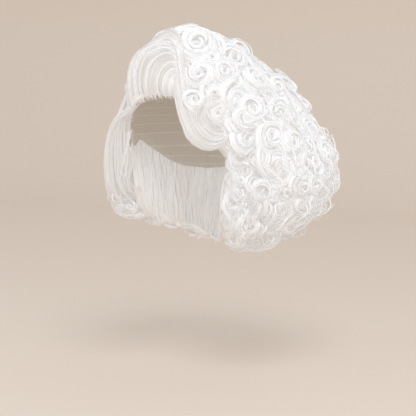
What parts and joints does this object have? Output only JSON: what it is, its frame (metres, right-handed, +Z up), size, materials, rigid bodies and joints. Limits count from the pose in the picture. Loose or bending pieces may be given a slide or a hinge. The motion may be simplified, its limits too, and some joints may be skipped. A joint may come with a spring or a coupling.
{
  "type": "lace front wig",
  "caption": "White curly wig on a stretch cap with a sheer lace hairline, swept up in a quiff and over into a full mass of rolled curls on one side.",
  "frame": {"origin": "point inside the cap that rests on the top of the wearer's head", "axes": "+Z up, -Y the way the face looks, +X the wearer's left"},
  "size_m": [0.3563, 0.3132, 0.3312],
  "materials": {
    "hair": "white synthetic fibre with a soft silky sheen",
    "cap_net": "matt ivory stretch net",
    "lace": "sheer beige hexagonal lace"
  },
  "bodies": {
    "root": {"cap": "cap_net", "lace_front": "lace", "crown_curls": "hair", "front_quiff": "hair", "front_wave": "hair", "left_curls": "hair", "back_curls": "hair", "right_back_curls": "hair", "right_side_fall": "hair"}
  },
  "joints": []
}
